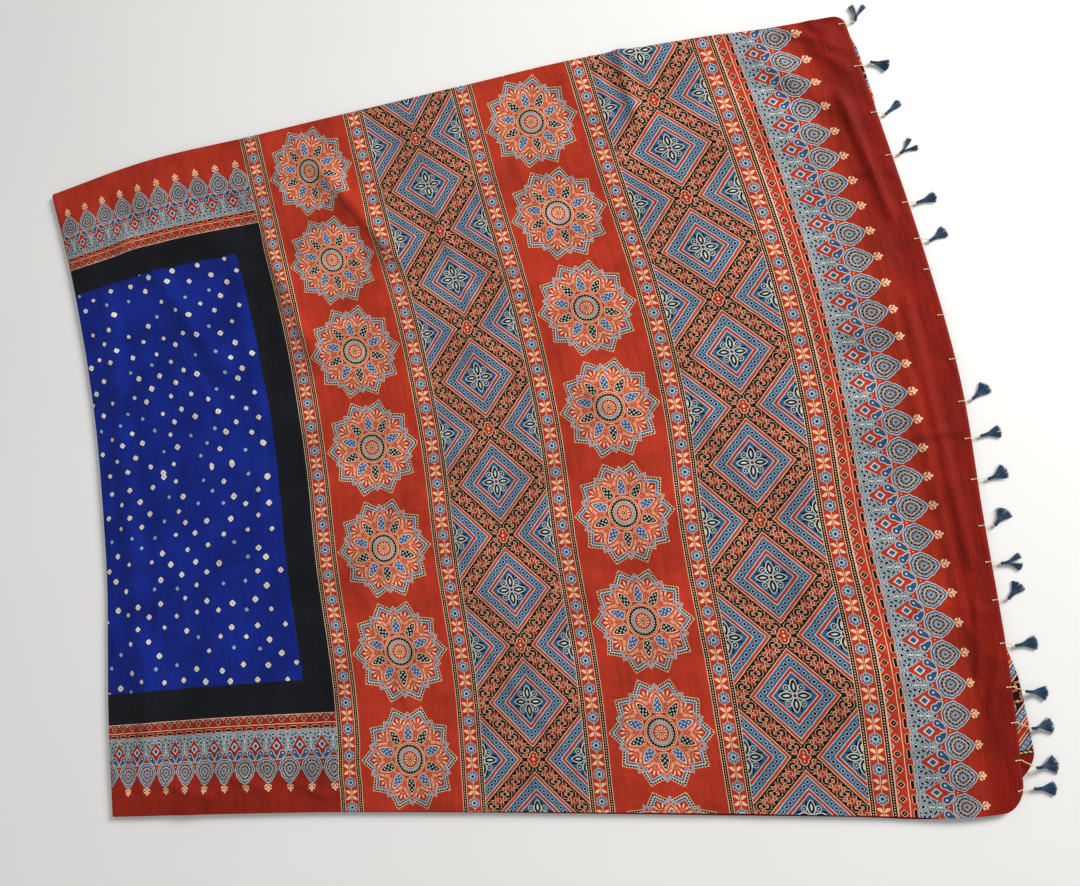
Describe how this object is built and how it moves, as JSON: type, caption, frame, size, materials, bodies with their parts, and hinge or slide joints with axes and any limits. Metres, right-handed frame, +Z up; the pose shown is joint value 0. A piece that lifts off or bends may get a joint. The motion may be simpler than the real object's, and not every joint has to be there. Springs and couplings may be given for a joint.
{
  "type": "folded saree",
  "caption": "Long printed and tie-dyed cotton saree folded in four and laid flat, its end hem on top with a row of tied thread tassels along the edge.",
  "frame": {"origin": "point of the flat underside that the folded cloth rests on, near the middle of its outline", "axes": "+X along the saree's length towards the tasselled end hem, +Y across its width towards the far selvedge, +Z up from the surface it lies on"},
  "size_m": [1.4221, 1.2313, 0.0126],
  "materials": {
    "printed_cotton": "matt hand-printed cotton, madder red with an indigo tied field",
    "tassel_thread": "soft twisted cotton thread, teal blue",
    "tie_thread": "undyed cotton sewing thread, cream"
  },
  "bodies": {
    "root": {"cloth": "printed_cotton", "tassel_01": "tassel_thread", "tassel_02": "tassel_thread", "tassel_03": "tassel_thread", "tassel_04": "tassel_thread", "tassel_05": "tassel_thread", "tassel_06": "tassel_thread", "tassel_07": "tassel_thread", "tassel_08": "tassel_thread", "tassel_09": "tassel_thread", "tassel_10": "tassel_thread", "tassel_11": "tassel_thread", "tassel_12": "tassel_thread", "tassel_13": "tassel_thread", "tassel_14": "tassel_thread", "tassel_15": "tassel_thread", "tassel_16": "tassel_thread", "tassel_17": "tassel_thread", "tie_01": "tie_thread", "tie_02": "tie_thread", "tie_03": "tie_thread", "tie_04": "tie_thread", "tie_05": "tie_thread", "tie_06": "tie_thread", "tie_07": "tie_thread", "tie_08": "tie_thread", "tie_09": "tie_thread", "tie_10": "tie_thread", "tie_11": "tie_thread", "tie_12": "tie_thread", "tie_13": "tie_thread", "tie_14": "tie_thread", "tie_15": "tie_thread", "tie_16": "tie_thread", "tie_17": "tie_thread", "knot_01": "tie_thread", "knot_02": "tie_thread", "knot_03": "tie_thread"}
  },
  "joints": []
}
